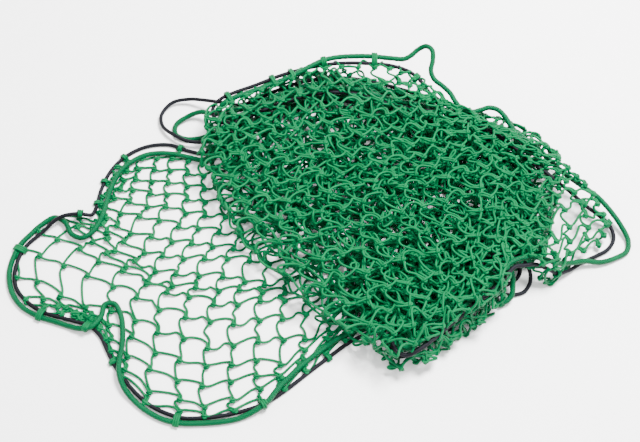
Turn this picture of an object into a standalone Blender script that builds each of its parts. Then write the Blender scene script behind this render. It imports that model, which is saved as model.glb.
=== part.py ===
"""A cargo net, laid down as it is after use: one rectangle of knotted netting with
an elastic cord and a rope round its edge. Its first meshes lie flat on the ground to
the left, and the rest is folded back and forth into a pile of five layers.

Metres, +Z up. The ground is z = 0. A place on the net is given by mesh counts:
u runs along the net from its flat end, and v runs across it from the back edge.
"""

from math import ceil, cos, pi, radians, sin

import bmesh
import bpy
from mathutils import Vector

MM = 0.001

# The net
TWINE = 3.4 * MM  # thickness of the twine, and of the sheet that stands for it
BAR = 5.0 * MM  # width of the bars in the pile, where two meshes are cut as one
MESHES_ACROSS = 16
MESHES_ALONG = 94
FOLDS = (26, 43, 60, 77)  # the mesh numbers where the net turns back
FOLD_HALF = 0.25  # meshes taken up by half a fold
FOLD_STEPS = 4
FLAT_END_MESHES = 14  # the flat end is cut mesh by mesh up to here
PILE_STEP = 2  # meshes between two lines across the net, in the pile
SMALLEST_GAP = 4 * MM
SHARPEST = radians(32)  # cells with a sharper corner are bunched up, and stay whole
SEEN_AT_BACK = 6.5  # meshes of the flat end that the pile leaves bare at v = 0
SEEN_MORE_EACH_MESH = 0.55  # and so many more for each mesh across
CUT_LAYERS = (3, 4)  # the layers of the pile whose gaps show from above

# The cords round the edge
ELASTIC_RADIUS = 3.0 * MM
ROPE_RADIUS = 4.0 * MM
CORD_BEVEL_RESOLUTION = 2
NEAR = 7.2  # mm from the net's edge line to the inner cord's centre line
FAR = 16.0  # mm from the net's edge line to the outer cord's centre line
PASS_STEP = 2.35  # meshes between a cord's points along an edge
TURN_STEP = radians(26)  # a tube gets a point for each such turn of its route
TURN_SHARES = (0.25, 0.5, 0.75)  # where a turn in a fold has its points
ROPE_SETBACK = 0.15  # meshes by which the rope turns back before the elastic cord

# Where the middle of the object's footprint lies in the tables below, in mm
MIDDLE = (1.5, -31.0)

# Sections across the net, in mm. Each row: mesh number u, then the points x, y, z of
# the section, evenly spaced in meshes from the back edge to the front edge.
GROUND_LAYER = (
    (0, (-314, 86, 1.7), (-317, 72, 1.7), (-320, 57, 1.7), (-322, 43, 1.7), (-323, 29, 1.7),
     (-324, 15, 1.7), (-325, 1, 1.7), (-334, -16, 1.7), (-359, -20, 1.7), (-384, -26, 1.7),
     (-408, -42, 1.7), (-427, -68, 1.7), (-431, -103, 1.7), (-411, -136, 1.7),
     (-380, -155, 1.7), (-352, -165, 1.7), (-323, -184, 1.7)),
    (1, (-296, 94, 1.7), (-302, 60, 1.7), (-307, 26, 1.7), (-316, -10, 1.7), (-339, -34, 1.7),
     (-383, -54, 1.7), (-405, -110, 1.7), (-356, -146, 1.7), (-311, -193, 1.7)),
    (2, (-278, 101, 1.7), (-284, 62, 1.7), (-290, 22, 1.7), (-306, -22, 1.7), (-321, -50, 1.7),
     (-356, -68, 1.7), (-374, -116, 1.7), (-333, -145, 1.7), (-301, -206, 1.7)),
    (3, (-255, 101, 1.7), (-259, 58, 1.7), (-262, 13, 1.7), (-284, -34, 1.7), (-300, -65, 1.7),
     (-327, -84, 1.7), (-335, -129, 1.7), (-310, -160, 1.7), (-292, -219, 1.7)),
    (4, (-231, 101, 1.7), (-234, 56, 1.7), (-235, 11, 1.7), (-252, -39, 1.7), (-274, -80, 1.7),
     (-290, -103, 1.7), (-300, -149, 1.7), (-294, -190, 1.7), (-283, -232, 1.7)),
    (5, (-207, 96, 1.7), (-205, 50, 1.7), (-204, 4, 1.7), (-221, -46, 1.7), (-243, -92, 1.7),
     (-256, -120, 1.7), (-265, -172, 1.7), (-268, -220, 1.7), (-262, -262, 1.7)),
    (6, (-184, 92, 1.7), (-178, 45, 1.7), (-174, -3, 1.7), (-191, -51, 1.7), (-212, -101, 1.7),
     (-223, -138, 1.7), (-231, -194, 1.7), (-236, -244, 1.7), (-232, -286, 1.7)),
    (8, (-148, 118, 1.7), (-128, 52, 1.7), (-114, -14, 1.7), (-128, -59, 1.7),
     (-143, -106, 1.7), (-154, -154, 1.7), (-159, -217, 1.7), (-162, -270, 1.7),
     (-158, -314, 1.7)),
    (10, (-112, 150, 1.7), (-65, 12, 1.7), (-80, -117, 1.7), (-88, -210, 1.7), (-80, -292, 1.7)),
    (12, (-72, 180, 1.7), (-18, 40, 1.7), (-18, -112, 1.7), (-21, -198, 1.7), (-22, -248, 1.7)),
    (14, (-30, 203, 1.7), (28, 62, 1.7), (40, -88, 1.7), (45, -162, 1.7), (36, -200, 1.7)),
    (19.3, (75, 226, 1.7), (130, 100, 1.7), (168, -22, 1.7), (168, -96, 1.7), (156, -140, 1.7)),
    (26, (195, 180, 1.7), (276, 130, 1.7), (318, 70, 1.7), (318, -12, 1.7), (296, -92, 1.7)),
)
SECOND_LAYER = (
    (26, (206, 174, 14), (280, 126, 14), (318, 68, 14), (317, -12, 14), (305, -58, 14)),
    (28.6, (150, 165, 14), (208, 114, 14), (250, 49, 14), (266, -34, 14), (254, -71, 14)),
    (33.8, (22, 199, 14), (65, 88, 14), (110, 8, 14), (160, -82, 14), (190, -120, 14)),
    (43, (-163, 117, 14), (-153, 55, 14), (-98, -50, 14), (-10, -160, 14), (71, -216, 14)),
)
THIRD_LAYER = (
    (43, (-168, 150, 26), (-157, 58, 26), (-102, -50, 26), (-10, -168, 25), (100, -236, 27.6)),
    (50.8, (12, 226, 26), (65, 98, 26), (120, 10, 26), (170, -84, 26), (214, -156, 25)),
    (60, (196, 180, 26), (282, 126, 26), (332, 72, 26), (328, -6, 26), (284, -88, 25)),
)
FOURTH_LAYER = (
    (60, (206, 173, 39), (284, 124, 39), (332, 70, 39), (327, -8, 39), (300, -58, 38)),
    (62.6, (150, 162, 39), (209, 113, 39), (260, 50, 39), (276, -32, 39), (246, -80, 38)),
    (67.8, (16, 198, 39), (60, 92, 39), (115, 10, 39), (170, -82, 39), (204, -126, 38)),
    (77, (-171, 120, 39), (-164, 58, 39), (-108, -48, 39), (-12, -162, 37), (77, -224, 36.5)),
)
TOP_LAYER = (
    (77, (-174, 153, 51.5), (-170, 62, 52), (-112, -48, 52), (-14, -170, 50), (106, -244, 49)),
    (80.9, (-90, 196, 51.5), (-55, 84, 57), (5, -20, 51), (96, -124, 55), (174, -188, 49)),
    (84.8, (5, 235, 53), (62, 107, 52), (125, 12, 58), (194, -76, 50), (242, -130, 51)),
    (86.8, (58, 240, 51), (120, 116, 56), (187, 32, 53), (246, -46, 54), (270, -100, 52)),
    (88.8, (108, 236, 52), (178, 124, 53), (245, 50, 56), (296, -28, 53), (304, -82, 50)),
    (91.4, (156, 211, 53), (178, 173, 53), (230, 135, 54), (272, 102, 54.5), (304, 67, 54),
     (331, 31, 53.5), (350, -6, 44), (356, -45, 34), (350, -84, 24)),
    (94, (190, 178, 51), (240, 148, 51), (292, 116, 52), (338, 92, 52), (367, 56, 48),
     (393, 32, 36), (416, 4, 26), (428, -26, 15), (414, -56, 8)),
)
LAYERS = (GROUND_LAYER, SECOND_LAYER, THIRD_LAYER, FOURTH_LAYER, TOP_LAYER)

# The mesh numbers between which each layer's edge carries the cords, lowest first
BACK_PASSES = ((7.5, 23.9), (28.1, 40.9), (45.4, 57.9), (62.1, 74.9), (79.1, 82.9))
FRONT_PASSES = ((16.0, 23.2), (28.7, 40.5), (45.5, 50.2), (63.3, 74.9), (79.1, 86.8))

# How far out each layer's edges carry each cord
ELASTIC_REACHES = (FAR, NEAR, FAR, NEAR, FAR)
ROPE_REACHES = (NEAR, FAR, NEAR, FAR, NEAR)

# Routes of the two cords where they leave the edge of the pile's layers, in mm: round
# the flat end from the front of the pile to its back, then the loop at the pile's back
# left corner, the net's far end on top of the pile, and the loop at the front right.
ELASTIC_FLAT_END = (
    (46, -207, 3), (14, -231, 3), (-18, -257, 3), (-48, -282, 3), (-76, -301, 3),
    (-106, -312, 3), (-135, -319, 3), (-162, -322, 3), (-188, -322, 3), (-209, -316, 3),
    (-232, -305, 3), (-252, -289, 3), (-274, -265, 3), (-289, -244, 3), (-301, -222, 3),
    (-313, -200, 3), (-330, -184, 3), (-358, -175, 3), (-400, -162, 3), (-424, -146, 3),
    (-442, -126, 3), (-449, -97, 3), (-441, -59, 3), (-415, -30, 6), (-390, -11, 15.8),
    (-364, -5, 15.8), (-345, -3, 9), (-340, 16, 3), (-336, 45, 3), (-326, 76, 3),
    (-306, 104, 3), (-274, 124, 3), (-238, 128, 3), (-208, 117, 3), (-182, 112, 3),
)
ROPE_FLAT_END = (
    (30, -203, 8.8), (8, -219, 7.9), (-17, -239, 7.9), (-42, -263, 7.9), (-60, -284, 9.5),
    (-71, -300, 11.3), (-87, -312, 8), (-111, -323, 4), (-135, -328, 4), (-162, -330, 4),
    (-189, -330, 4), (-213, -325, 4), (-237, -313, 4), (-258, -296, 4.6), (-272, -279, 8.5),
    (-280, -258, 11.3), (-281, -236, 10), (-280, -215, 7.9), (-281, -195, 7.9),
    (-285, -172, 7.9), (-297, -151, 7.9), (-310, -152, 7.9), (-314, -172, 9),
    (-326, -189, 11), (-343, -190, 7.5), (-362, -184, 4), (-383, -177, 4), (-404, -170, 4),
    (-432, -153, 4), (-450, -128, 4), (-457, -96, 4), (-449, -56, 4), (-433, -33, 4),
    (-418, -16, 4),
    (-401, -6, 6), (-384, -15, 7.9), (-371, -36, 7.9), (-355, -42, 7.9), (-341, -32, 7.9),
    (-332, -15, 7.9), (-327, 3, 7.9), (-324, 24, 7.9), (-319, 49, 7.9), (-310, 73, 7.9),
    (-295, 91, 7.9), (-273, 105, 7.9), (-250, 109, 7.9), (-226, 107, 7.9), (-203, 101, 7.9),
    (-181, 97, 7.9),
)
ELASTIC_BACK_LOOP = (
    (-152, 141, 11), (-168, 131, 10.5), (-186, 127, 11.5), (-208, 129, 12.5), (-230, 141, 12),
    (-249, 160, 8), (-253, 184, 6), (-237, 206, 8), (-210, 210, 12), (-186, 204, 18),
    (-162, 196, 24),
)
ROPE_BACK_LOOP = (
    (-153, 153, 11), (-170, 145, 8.5), (-190, 139, 5), (-212, 138, 4.5), (-228, 147, 4.5),
    (-229, 164, 5), (-212, 178, 8), (-190, 182, 16), (-168, 174, 22),
    (-146, 175, 25),
)
ELASTIC_FAR_END = (
    (8, 249, 51), (42, 252, 51.5), (74, 251, 52), (111, 247, 52), (142, 235, 51),
    (158, 220, 48.5), (170, 202, 45.5), (181, 183, 44.8), (196, 165, 44.8), (215, 150, 44.8),
    (240, 136, 44.8), (262, 125, 44.8), (283, 109, 44.8), (305, 86, 44.8), (326, 63, 44.5),
    (340, 51, 44.1), (354, 39, 40), (374, 26, 32), (400, 4, 23), (419, -8, 15), (434, -21, 10),
    (439, -42, 6), (429, -59, 4), (411, -70, 3.5), (388, -81, 3.5), (366, -97, 8),
    (345, -108, 20), (326, -108, 36), (308, -107, 46), (291, -111, 50),
)
ROPE_FAR_END = (
    (-35, 228, 57), (-16, 239, 59.3), (6, 252, 58.8), (26, 259, 57), (50, 262, 56),
    (80, 262, 56), (114, 258, 56), (134, 256, 57), (145, 260, 61), (156, 267, 67),
    (168, 268, 74), (177, 260, 74), (178, 246, 66), (175, 232, 58), (180, 219, 53), (192, 208, 51), (204, 194, 50),
    (211, 179, 49), (220, 167, 47.5), (236, 160, 47), (250, 163, 48), (263, 166, 50),
    (276, 162, 50), (287, 149, 48.5), (294, 134, 47), (304, 120, 45.5), (320, 106, 44.5),
    (340, 86, 42), (356, 68, 38), (374, 52, 34), (396, 35, 30), (419, 19, 24),
    (437, -2, 18), (451, -24, 12), (460, -45, 6), (456, -63, 4.2), (437, -75, 4.5),
    (414, -83, 7), (390, -84, 12.5), (367, -90, 18), (345, -96, 29), (326, -97, 42),
    (308, -96, 48.5), (290, -99, 51),
)
ELASTIC_FRONT_LOOP = (
    (276, -87, 38.5), (292, -91, 34), (304, -103, 23), (306, -118, 10), (297, -130, 3.2),
    (281, -135, 3.2), (264, -138, 10), (250, -145, 20), (236, -157, 25),
)
ROPE_FRONT_LOOP = (
    (272, -107, 36), (278, -116, 28), (279, -127, 18), (277, -140, 12), (268, -148, 8),
    (256, -149, 5), (244, -148, 7), (232, -150, 13), (220, -158, 21),
)


def to_metres(point):
    """A point of the tables, in mm, as a point of the object, in metres."""
    return Vector((point[0] - MIDDLE[0], point[1] - MIDDLE[1], point[2])) * MM


def smooth_at(points, numbers, where):
    """The point at a number along a smooth curve whose points carry numbers."""
    last = len(points) - 1
    step = max(i for i in range(last) if i == 0 or numbers[i] <= where)
    span = numbers[step + 1] - numbers[step]

    def slope(i):
        low, high = max(i - 1, 0), min(i + 1, last)
        return (points[high] - points[low]) * (span / (numbers[high] - numbers[low]))

    t = (where - numbers[step]) / span
    return hermite(points[step], points[step + 1], slope(step), slope(step + 1), t)


def hermite(start, end, leave, arrive, t):
    """The point at share t of a cubic that leaves and arrives with given slopes."""
    blend = t * t * (3 - 2 * t)
    return (
        start * (1 - blend)
        + end * blend
        + leave * (t * (1 - t) ** 2)
        - arrive * (t * t * (1 - t))
    )


def on_layer(layer, u, v):
    """The point at mesh numbers u, v of one layer, as the tables give it."""
    low, high = layer[0][0], layer[-1][0]
    start = low + (FOLD_HALF if low else 0)
    end = high - (FOLD_HALF if high < MESHES_ALONG else 0)
    stretched = low + (u - start) / (end - start) * (high - low)
    across = []
    for row in layer:
        points = [Vector(p) for p in row[1:]]
        meshes = range(0, MESHES_ACROSS + 1, MESHES_ACROSS // (len(points) - 1))
        across.append(smooth_at(points, meshes, v))
    return smooth_at(across, [row[0] for row in layer], stretched)


def on_net(u, v):
    """The point in metres where the net's middle surface has mesh numbers u, v."""
    for number, fold in enumerate(FOLDS):
        if abs(u - fold) < FOLD_HALF:
            return to_metres(on_fold(number, fold, (u - fold) / FOLD_HALF * pi / 2, v))
    layer = LAYERS[sum(u > fold for fold in FOLDS)]
    return to_metres(on_layer(layer, u, v))


def on_fold(number, fold, angle, v):
    """The point of a fold at an angle of its half circle, from -90 to 90 degrees."""
    before, after = LAYERS[number], LAYERS[number + 1]
    end = fold - FOLD_HALF
    leave = on_layer(before, end, v)
    arrive = on_layer(after, fold + FOLD_HALF, v)
    line = on_layer(before, end, v + 1) - on_layer(before, end, v - 1)
    outward = Vector((line.y, -line.x, 0)).normalized()
    if outward.dot(leave - on_layer(before, end - 1, v)) < 0:
        outward.negate()
    risen = (1 + sin(angle)) / 2
    share = risen ** 3 / (risen ** 3 + (1 - risen) ** 3)
    point = leave.lerp(arrive, share)
    point += outward * (arrive.z - leave.z) / 2 * cos(angle)
    point.z = leave.z + (arrive.z - leave.z) * risen
    return point


def evenly(start, end, step):
    """Numbers from start to end, both among them, no more than a step apart."""
    parts = ceil((end - start) / step)
    return [start + (end - start) * i / parts for i in range(parts + 1)]


def lines_across():
    """The mesh numbers u at which the sheet has a line of points across the net."""
    lines = evenly(0, FLAT_END_MESHES, 1)
    start = FLAT_END_MESHES
    for fold in FOLDS:
        lines += evenly(start, fold - FOLD_HALF, PILE_STEP)[1:]
        lines += evenly(fold - FOLD_HALF, fold + FOLD_HALF, 2 * FOLD_HALF / FOLD_STEPS)[1:]
        start = fold + FOLD_HALF
    return lines + evenly(start, MESHES_ALONG, PILE_STEP)[1:]


def bar_width(u, v):
    """The width of the bars round the cell at u, v, or 0 where it stays whole."""
    if u < FLAT_END_MESHES:
        seen = SEEN_AT_BACK + SEEN_MORE_EACH_MESH * v
        return TWINE if u < seen else 0
    in_fold = any(abs(u - fold) < FOLD_HALF for fold in FOLDS)
    layer = sum(u > fold for fold in FOLDS)
    return BAR if layer in CUT_LAYERS and not in_fold else 0


def is_open(face, bar):
    """Whether a cell of the net leaves a gap between its bars, or is bunched up."""
    perimeter = sum(edge.calc_length() for edge in face.edges)
    angles = [loop.calc_angle() for loop in face.loops]
    wide = 4 * face.calc_area() / perimeter > bar + SMALLEST_GAP
    return wide and min(angles) > SHARPEST and max(angles) < pi - SHARPEST


def net_panel():
    """The netting: one sheet as thick as its twine, folded, with its gaps cut."""
    lines = lines_across()
    net = bmesh.new()
    bmesh.ops.create_grid(
        net, x_segments=len(lines) - 1, y_segments=MESHES_ACROSS, size=0.5
    )
    place = {}
    for point in net.verts:
        u = lines[round((point.co.x + 0.5) * (len(lines) - 1))]
        v = round((0.5 - point.co.y) * MESHES_ACROSS)
        place[point] = (u, v)
        point.co = on_net(u, v)

    # In the pile two meshes across make one cell
    middles = [
        edge for edge in net.edges
        if all(place[p][1] % 2 and place[p][0] >= FLAT_END_MESHES for p in edge.verts)
        and place[edge.verts[0]][1] == place[edge.verts[1]][1]
    ]
    bmesh.ops.dissolve_edges(net, edges=middles, use_verts=True)

    cells = {TWINE: [], BAR: []}
    for face in net.faces:
        corners = [place[p] for p in face.verts]
        u = (min(c[0] for c in corners) + max(c[0] for c in corners)) / 2
        v = (min(c[1] for c in corners) + max(c[1] for c in corners)) / 2
        bar = bar_width(u, v)
        if bar and is_open(face, bar):
            cells[bar].append(face)
    for bar, faces in cells.items():
        bmesh.ops.inset_individual(
            net, faces=faces, thickness=bar / 2, use_even_offset=True
        )
    bmesh.ops.delete(net, geom=cells[TWINE] + cells[BAR], context="FACES")

    panel = add_mesh("net_panel", net, netting_material())
    thickness = panel.modifiers.new("twine", "SOLIDIFY")
    thickness.thickness = TWINE
    thickness.offset = 0
    return panel


def edge_point(u, v, reach, radius):
    """A point beside the net's edge at v, reach mm outside it, for a cord."""
    here = on_net(u, v)
    inside = on_net(u, abs(v - 1))
    along = on_net(u + FOLD_HALF, v) - on_net(u - FOLD_HALF, v)
    along.z = 0
    along.normalize()
    outward = here - inside
    outward.z = 0
    outward -= along * outward.dot(along)
    point = here + outward.normalized() * reach * MM
    point.z = max(point.z, radius)
    return point


def edge_passes(layer_meshes, v, reaches, radius, setback):
    """A cord's points along each layer's edge, as the net runs."""
    return [
        [
            edge_point(u, v, reach, radius)
            for u in evenly(first + setback, last - setback, PASS_STEP)
        ]
        for (first, last), reach in zip(layer_meshes, reaches)
    ]


def joined(arrive, leave):
    """Two passes in one route, turned round between their layers inside the fold."""
    ahead = (arrive[-1] - arrive[-2]).normalized()
    back = (leave[1] - leave[0]).normalized()
    lead = (arrive[-1] - leave[0]).dot(ahead)
    start = arrive[-1] + ahead * max(0, -lead)
    end = leave[0] - back * max(0, lead)
    reach = (end - start).length * 2
    turn = []
    for share in TURN_SHARES:
        point = hermite(start, end, ahead * reach, back * reach, share)
        point.z = (start.z + end.z) / 2
        turn.append(point)
    return arrive[:-1] + [start] + turn + [end] + leave[1:]


def ring_route(by_hand, back, front):
    """One cord's closed route: the parts by hand, and the passes between them."""
    flat_end, back_loop, far_end, front_loop = ([to_metres(p) for p in part] for part in by_hand)
    front = [points[::-1] for points in front]
    route = flat_end + joined(back[0], back[1])
    route += back_loop + joined(joined(back[2], back[3]), back[4])
    route += far_end + joined(front[4], front[3])
    route += front_loop + joined(joined(front[2], front[1]), front[0])
    return route


def rounded(route):
    """Points of a smooth closed curve through a route, closer where it turns."""
    curve = []
    for i in range(len(route)):
        p0, p1, p2, p3 = (route[(i + k) % len(route)] for k in (-1, 0, 1, 2))
        g0, g1, g2 = ((b - a).length ** 0.5 for a, b in ((p0, p1), (p1, p2), (p2, p3)))
        leave = ((p1 - p0) / g0 - (p2 - p0) / (g0 + g1) + (p2 - p1) / g1) * g1
        arrive = ((p2 - p1) / g1 - (p3 - p1) / (g1 + g2) + (p3 - p2) / g2) * g1
        steps = max(1, round(leave.angle(arrive, 0) / TURN_STEP))
        curve += [hermite(p1, p2, leave, arrive, k / steps) for k in range(steps)]
    return curve


def cord(name, route, radius, material):
    """A closed ring of cord along a route."""
    shape = bpy.data.curves.new(name, "CURVE")
    shape.dimensions = "3D"
    shape.bevel_depth = radius
    shape.bevel_resolution = CORD_BEVEL_RESOLUTION
    shape.use_fill_caps = True
    spline = shape.splines.new("POLY")
    points = rounded(route)
    spline.points.add(len(points) - 1)
    for spot, point in zip(spline.points, points):
        spot.co = (*point, 1)
    spline.use_cyclic_u = True
    shape.materials.append(material)
    ring = bpy.data.objects.new(name, shape)
    parts_collection().objects.link(ring)
    return ring


def elastic_cord():
    """The black elastic cord through the net's edge meshes."""
    back = edge_passes(BACK_PASSES, 0, ELASTIC_REACHES, ELASTIC_RADIUS, 0)
    front = edge_passes(FRONT_PASSES, MESHES_ACROSS, ELASTIC_REACHES, ELASTIC_RADIUS, 0)
    by_hand = (ELASTIC_FLAT_END, ELASTIC_BACK_LOOP, ELASTIC_FAR_END, ELASTIC_FRONT_LOOP)
    route = ring_route(by_hand, back, front)
    black = plain_material("black_elastic", (0.012, 0.012, 0.016), 0.55)
    return cord("elastic_cord", route, ELASTIC_RADIUS, black)


def border_rope():
    """The green rope that runs round the net with the elastic cord."""
    shape = (ROPE_REACHES, ROPE_RADIUS, ROPE_SETBACK)
    back = edge_passes(BACK_PASSES, 0, *shape)
    front = edge_passes(FRONT_PASSES, MESHES_ACROSS, *shape)
    by_hand = (ROPE_FLAT_END, ROPE_BACK_LOOP, ROPE_FAR_END, ROPE_FRONT_LOOP)
    route = ring_route(by_hand, back, front)
    green = plain_material("green_rope", (0.004, 0.17, 0.06), 0.45)
    return cord("border_rope", route, ROPE_RADIUS, green)


def plain_material(name, colour, roughness):
    """A material of one colour."""
    material = bpy.data.materials.new(name)
    material.use_nodes = True
    shader = material.node_tree.nodes["Principled BSDF"]
    shader.inputs["Base Color"].default_value = (*colour, 1)
    shader.inputs["Roughness"].default_value = roughness
    shader.inputs["Metallic"].default_value = 0
    return material


def netting_material():
    """Green polyethylene twine."""
    return plain_material("green_twine", (0.003, 0.18, 0.065), 0.4)


def parts_collection():
    """The collection that holds the object's pieces."""
    name = "cargo_net"
    if name not in bpy.data.collections:
        collection = bpy.data.collections.new(name)
        bpy.context.scene.collection.children.link(collection)
    return bpy.data.collections[name]


def add_mesh(name, shape, material):
    """An object made of a bmesh."""
    mesh = bpy.data.meshes.new(name)
    shape.to_mesh(mesh)
    shape.free()
    mesh.materials.append(material)
    thing = bpy.data.objects.new(name, mesh)
    parts_collection().objects.link(thing)
    return thing


def main():
    for thing in list(bpy.data.objects):
        bpy.data.objects.remove(thing, do_unlink=True)
    net_panel()
    elastic_cord()
    border_rope()


main()
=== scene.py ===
# %% [markdown]
# # A cargo net, dropped and half folded
# The object is one rectangle of knotted green netting with a black elastic cord and a
# green rope round its edge. Its first meshes lie flat on the ground, and the rest is
# folded back and forth into a pile of five layers. This lesson turns the plain solids of
# the frame into twine, knots and cord. The first cell loads the frame, which gives the
# place and the size of everything.

from math import ceil, cos, pi, radians, sin, tau

import bpy
import numpy as np
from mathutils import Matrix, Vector, noise


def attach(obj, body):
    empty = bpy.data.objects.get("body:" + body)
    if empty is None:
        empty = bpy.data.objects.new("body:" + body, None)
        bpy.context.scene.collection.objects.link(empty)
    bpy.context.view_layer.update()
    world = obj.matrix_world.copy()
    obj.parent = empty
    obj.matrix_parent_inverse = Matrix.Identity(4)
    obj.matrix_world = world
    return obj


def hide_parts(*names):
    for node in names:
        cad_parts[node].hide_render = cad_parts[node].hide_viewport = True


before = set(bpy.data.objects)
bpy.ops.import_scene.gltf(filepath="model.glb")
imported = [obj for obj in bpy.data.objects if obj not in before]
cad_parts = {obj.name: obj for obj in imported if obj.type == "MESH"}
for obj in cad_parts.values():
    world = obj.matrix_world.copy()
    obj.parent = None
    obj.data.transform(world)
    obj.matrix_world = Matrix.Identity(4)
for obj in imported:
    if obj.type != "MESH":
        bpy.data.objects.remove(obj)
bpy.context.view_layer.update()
MM = 0.001

# %% [markdown]
# ## The camera
# The photograph looks down at the net from the front, at 60 degrees to the ground, with
# a lens a little longer than normal. A camera could be aimed with a Track To constraint.
# A plain rotation is clearer here, because its one angle is the one just named.

# %% Set up the camera
LENS, SENSOR_WIDTH = 61.9, 36
LOOKING_DOWN = 60
CAMERA_PLACE = (-0.0015, -0.811, 1.4434)

camera = bpy.data.objects.new("camera", bpy.data.cameras.new("camera"))
bpy.context.scene.collection.objects.link(camera)
bpy.context.scene.camera = camera
camera.data.sensor_width = SENSOR_WIDTH
camera.data.lens = LENS
camera.location = CAMERA_PLACE
camera.rotation_euler = (radians(90 - LOOKING_DOWN), 0, 0)
print("the camera looks down at", LOOKING_DOWN, "degrees with a lens of", LENS, "mm")

# %% [markdown]
# ## Where the net lies
# Netting has its own coordinates: mesh numbers. Here u counts meshes along the net from
# its flat end, and v counts them across it from the back edge. The tables give sections
# across the net at chosen u, each as points that are evenly spaced in v. A surface could
# be sculpted instead, but tables keep every fold at a known mesh, and can say where the
# net is at any u and v. The first table is the layer on the ground: the flat end with its
# two notches, and the bottom of the pile.

# %% Sections on the ground, in millimetres
MESHES_ACROSS = 16
MESHES_ALONG = 94
FOLDS = (26, 43, 60, 77)  # the u at which the net is folded
FOLD_HALF = 0.25  # half of a fold, in meshes
MIDDLE = (1.5, -31.0)  # the point of the tables at which the object has its origin

GROUND_LAYER = (
    (0, (-314, 86, 1.7), (-317, 72, 1.7), (-320, 57, 1.7), (-322, 43, 1.7), (-323, 29, 1.7),
     (-324, 15, 1.7), (-325, 1, 1.7), (-334, -16, 1.7), (-359, -20, 1.7), (-384, -26, 1.7),
     (-408, -42, 1.7), (-427, -68, 1.7), (-431, -103, 1.7), (-411, -136, 1.7),
     (-380, -155, 1.7), (-352, -165, 1.7), (-323, -184, 1.7)),
    (1, (-296, 94, 1.7), (-302, 60, 1.7), (-307, 26, 1.7), (-316, -10, 1.7), (-339, -34, 1.7),
     (-383, -54, 1.7), (-405, -110, 1.7), (-356, -146, 1.7), (-311, -193, 1.7)),
    (2, (-278, 101, 1.7), (-284, 62, 1.7), (-290, 22, 1.7), (-306, -22, 1.7), (-321, -50, 1.7),
     (-356, -68, 1.7), (-374, -116, 1.7), (-333, -145, 1.7), (-301, -206, 1.7)),
    (3, (-255, 101, 1.7), (-259, 58, 1.7), (-262, 13, 1.7), (-284, -34, 1.7), (-300, -65, 1.7),
     (-327, -84, 1.7), (-335, -129, 1.7), (-310, -160, 1.7), (-292, -219, 1.7)),
    (4, (-231, 101, 1.7), (-234, 56, 1.7), (-235, 11, 1.7), (-252, -39, 1.7), (-274, -80, 1.7),
     (-290, -103, 1.7), (-300, -149, 1.7), (-294, -190, 1.7), (-283, -232, 1.7)),
    (5, (-207, 96, 1.7), (-205, 50, 1.7), (-204, 4, 1.7), (-221, -46, 1.7), (-243, -92, 1.7),
     (-256, -120, 1.7), (-265, -172, 1.7), (-268, -220, 1.7), (-262, -262, 1.7)),
    (6, (-184, 92, 1.7), (-178, 45, 1.7), (-174, -3, 1.7), (-191, -51, 1.7), (-212, -101, 1.7),
     (-223, -138, 1.7), (-231, -194, 1.7), (-236, -244, 1.7), (-232, -286, 1.7)),
    (8, (-148, 118, 1.7), (-128, 52, 1.7), (-114, -14, 1.7), (-128, -59, 1.7),
     (-143, -106, 1.7), (-154, -154, 1.7), (-159, -217, 1.7), (-162, -270, 1.7),
     (-158, -314, 1.7)),
    (10, (-112, 150, 1.7), (-65, 12, 1.7), (-80, -117, 1.7), (-88, -210, 1.7), (-80, -292, 1.7)),
    (12, (-72, 180, 1.7), (-18, 40, 1.7), (-18, -112, 1.7), (-21, -198, 1.7), (-22, -248, 1.7)),
    (14, (-30, 203, 1.7), (28, 62, 1.7), (40, -88, 1.7), (45, -162, 1.7), (36, -200, 1.7)),
    (19.3, (75, 226, 1.7), (130, 100, 1.7), (168, -22, 1.7), (168, -96, 1.7), (156, -140, 1.7)),
    (26, (195, 180, 1.7), (276, 130, 1.7), (318, 70, 1.7), (318, -12, 1.7), (296, -92, 1.7)),
)
print("sections on the ground:", len(GROUND_LAYER))

# %% [markdown]
# Four more layers lie on the first, and each starts where the one below it ends. They
# run to the left and to the right by turns, a little apart, and the last one hangs down
# over the others to its bare corner.

# %% Sections of the pile, in millimetres
SECOND_LAYER = (
    (26, (206, 174, 14), (280, 126, 14), (318, 68, 14), (317, -12, 14), (305, -58, 14)),
    (28.6, (150, 165, 14), (208, 114, 14), (250, 49, 14), (266, -34, 14), (254, -71, 14)),
    (33.8, (22, 199, 14), (65, 88, 14), (110, 8, 14), (160, -82, 14), (190, -120, 14)),
    (43, (-163, 117, 14), (-153, 55, 14), (-98, -50, 14), (-10, -160, 14), (71, -216, 14)),
)
THIRD_LAYER = (
    (43, (-168, 150, 26), (-157, 58, 26), (-102, -50, 26), (-10, -168, 25), (100, -236, 27.6)),
    (50.8, (12, 226, 26), (65, 98, 26), (120, 10, 26), (170, -84, 26), (214, -156, 25)),
    (60, (196, 180, 26), (282, 126, 26), (332, 72, 26), (328, -6, 26), (284, -88, 25)),
)
FOURTH_LAYER = (
    (60, (206, 173, 39), (284, 124, 39), (332, 70, 39), (327, -8, 39), (300, -58, 38)),
    (62.6, (150, 162, 39), (209, 113, 39), (260, 50, 39), (276, -32, 39), (246, -80, 38)),
    (67.8, (16, 198, 39), (60, 92, 39), (115, 10, 39), (170, -82, 39), (204, -126, 38)),
    (77, (-171, 120, 39), (-164, 58, 39), (-108, -48, 39), (-12, -162, 37), (77, -224, 36.5)),
)
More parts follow.
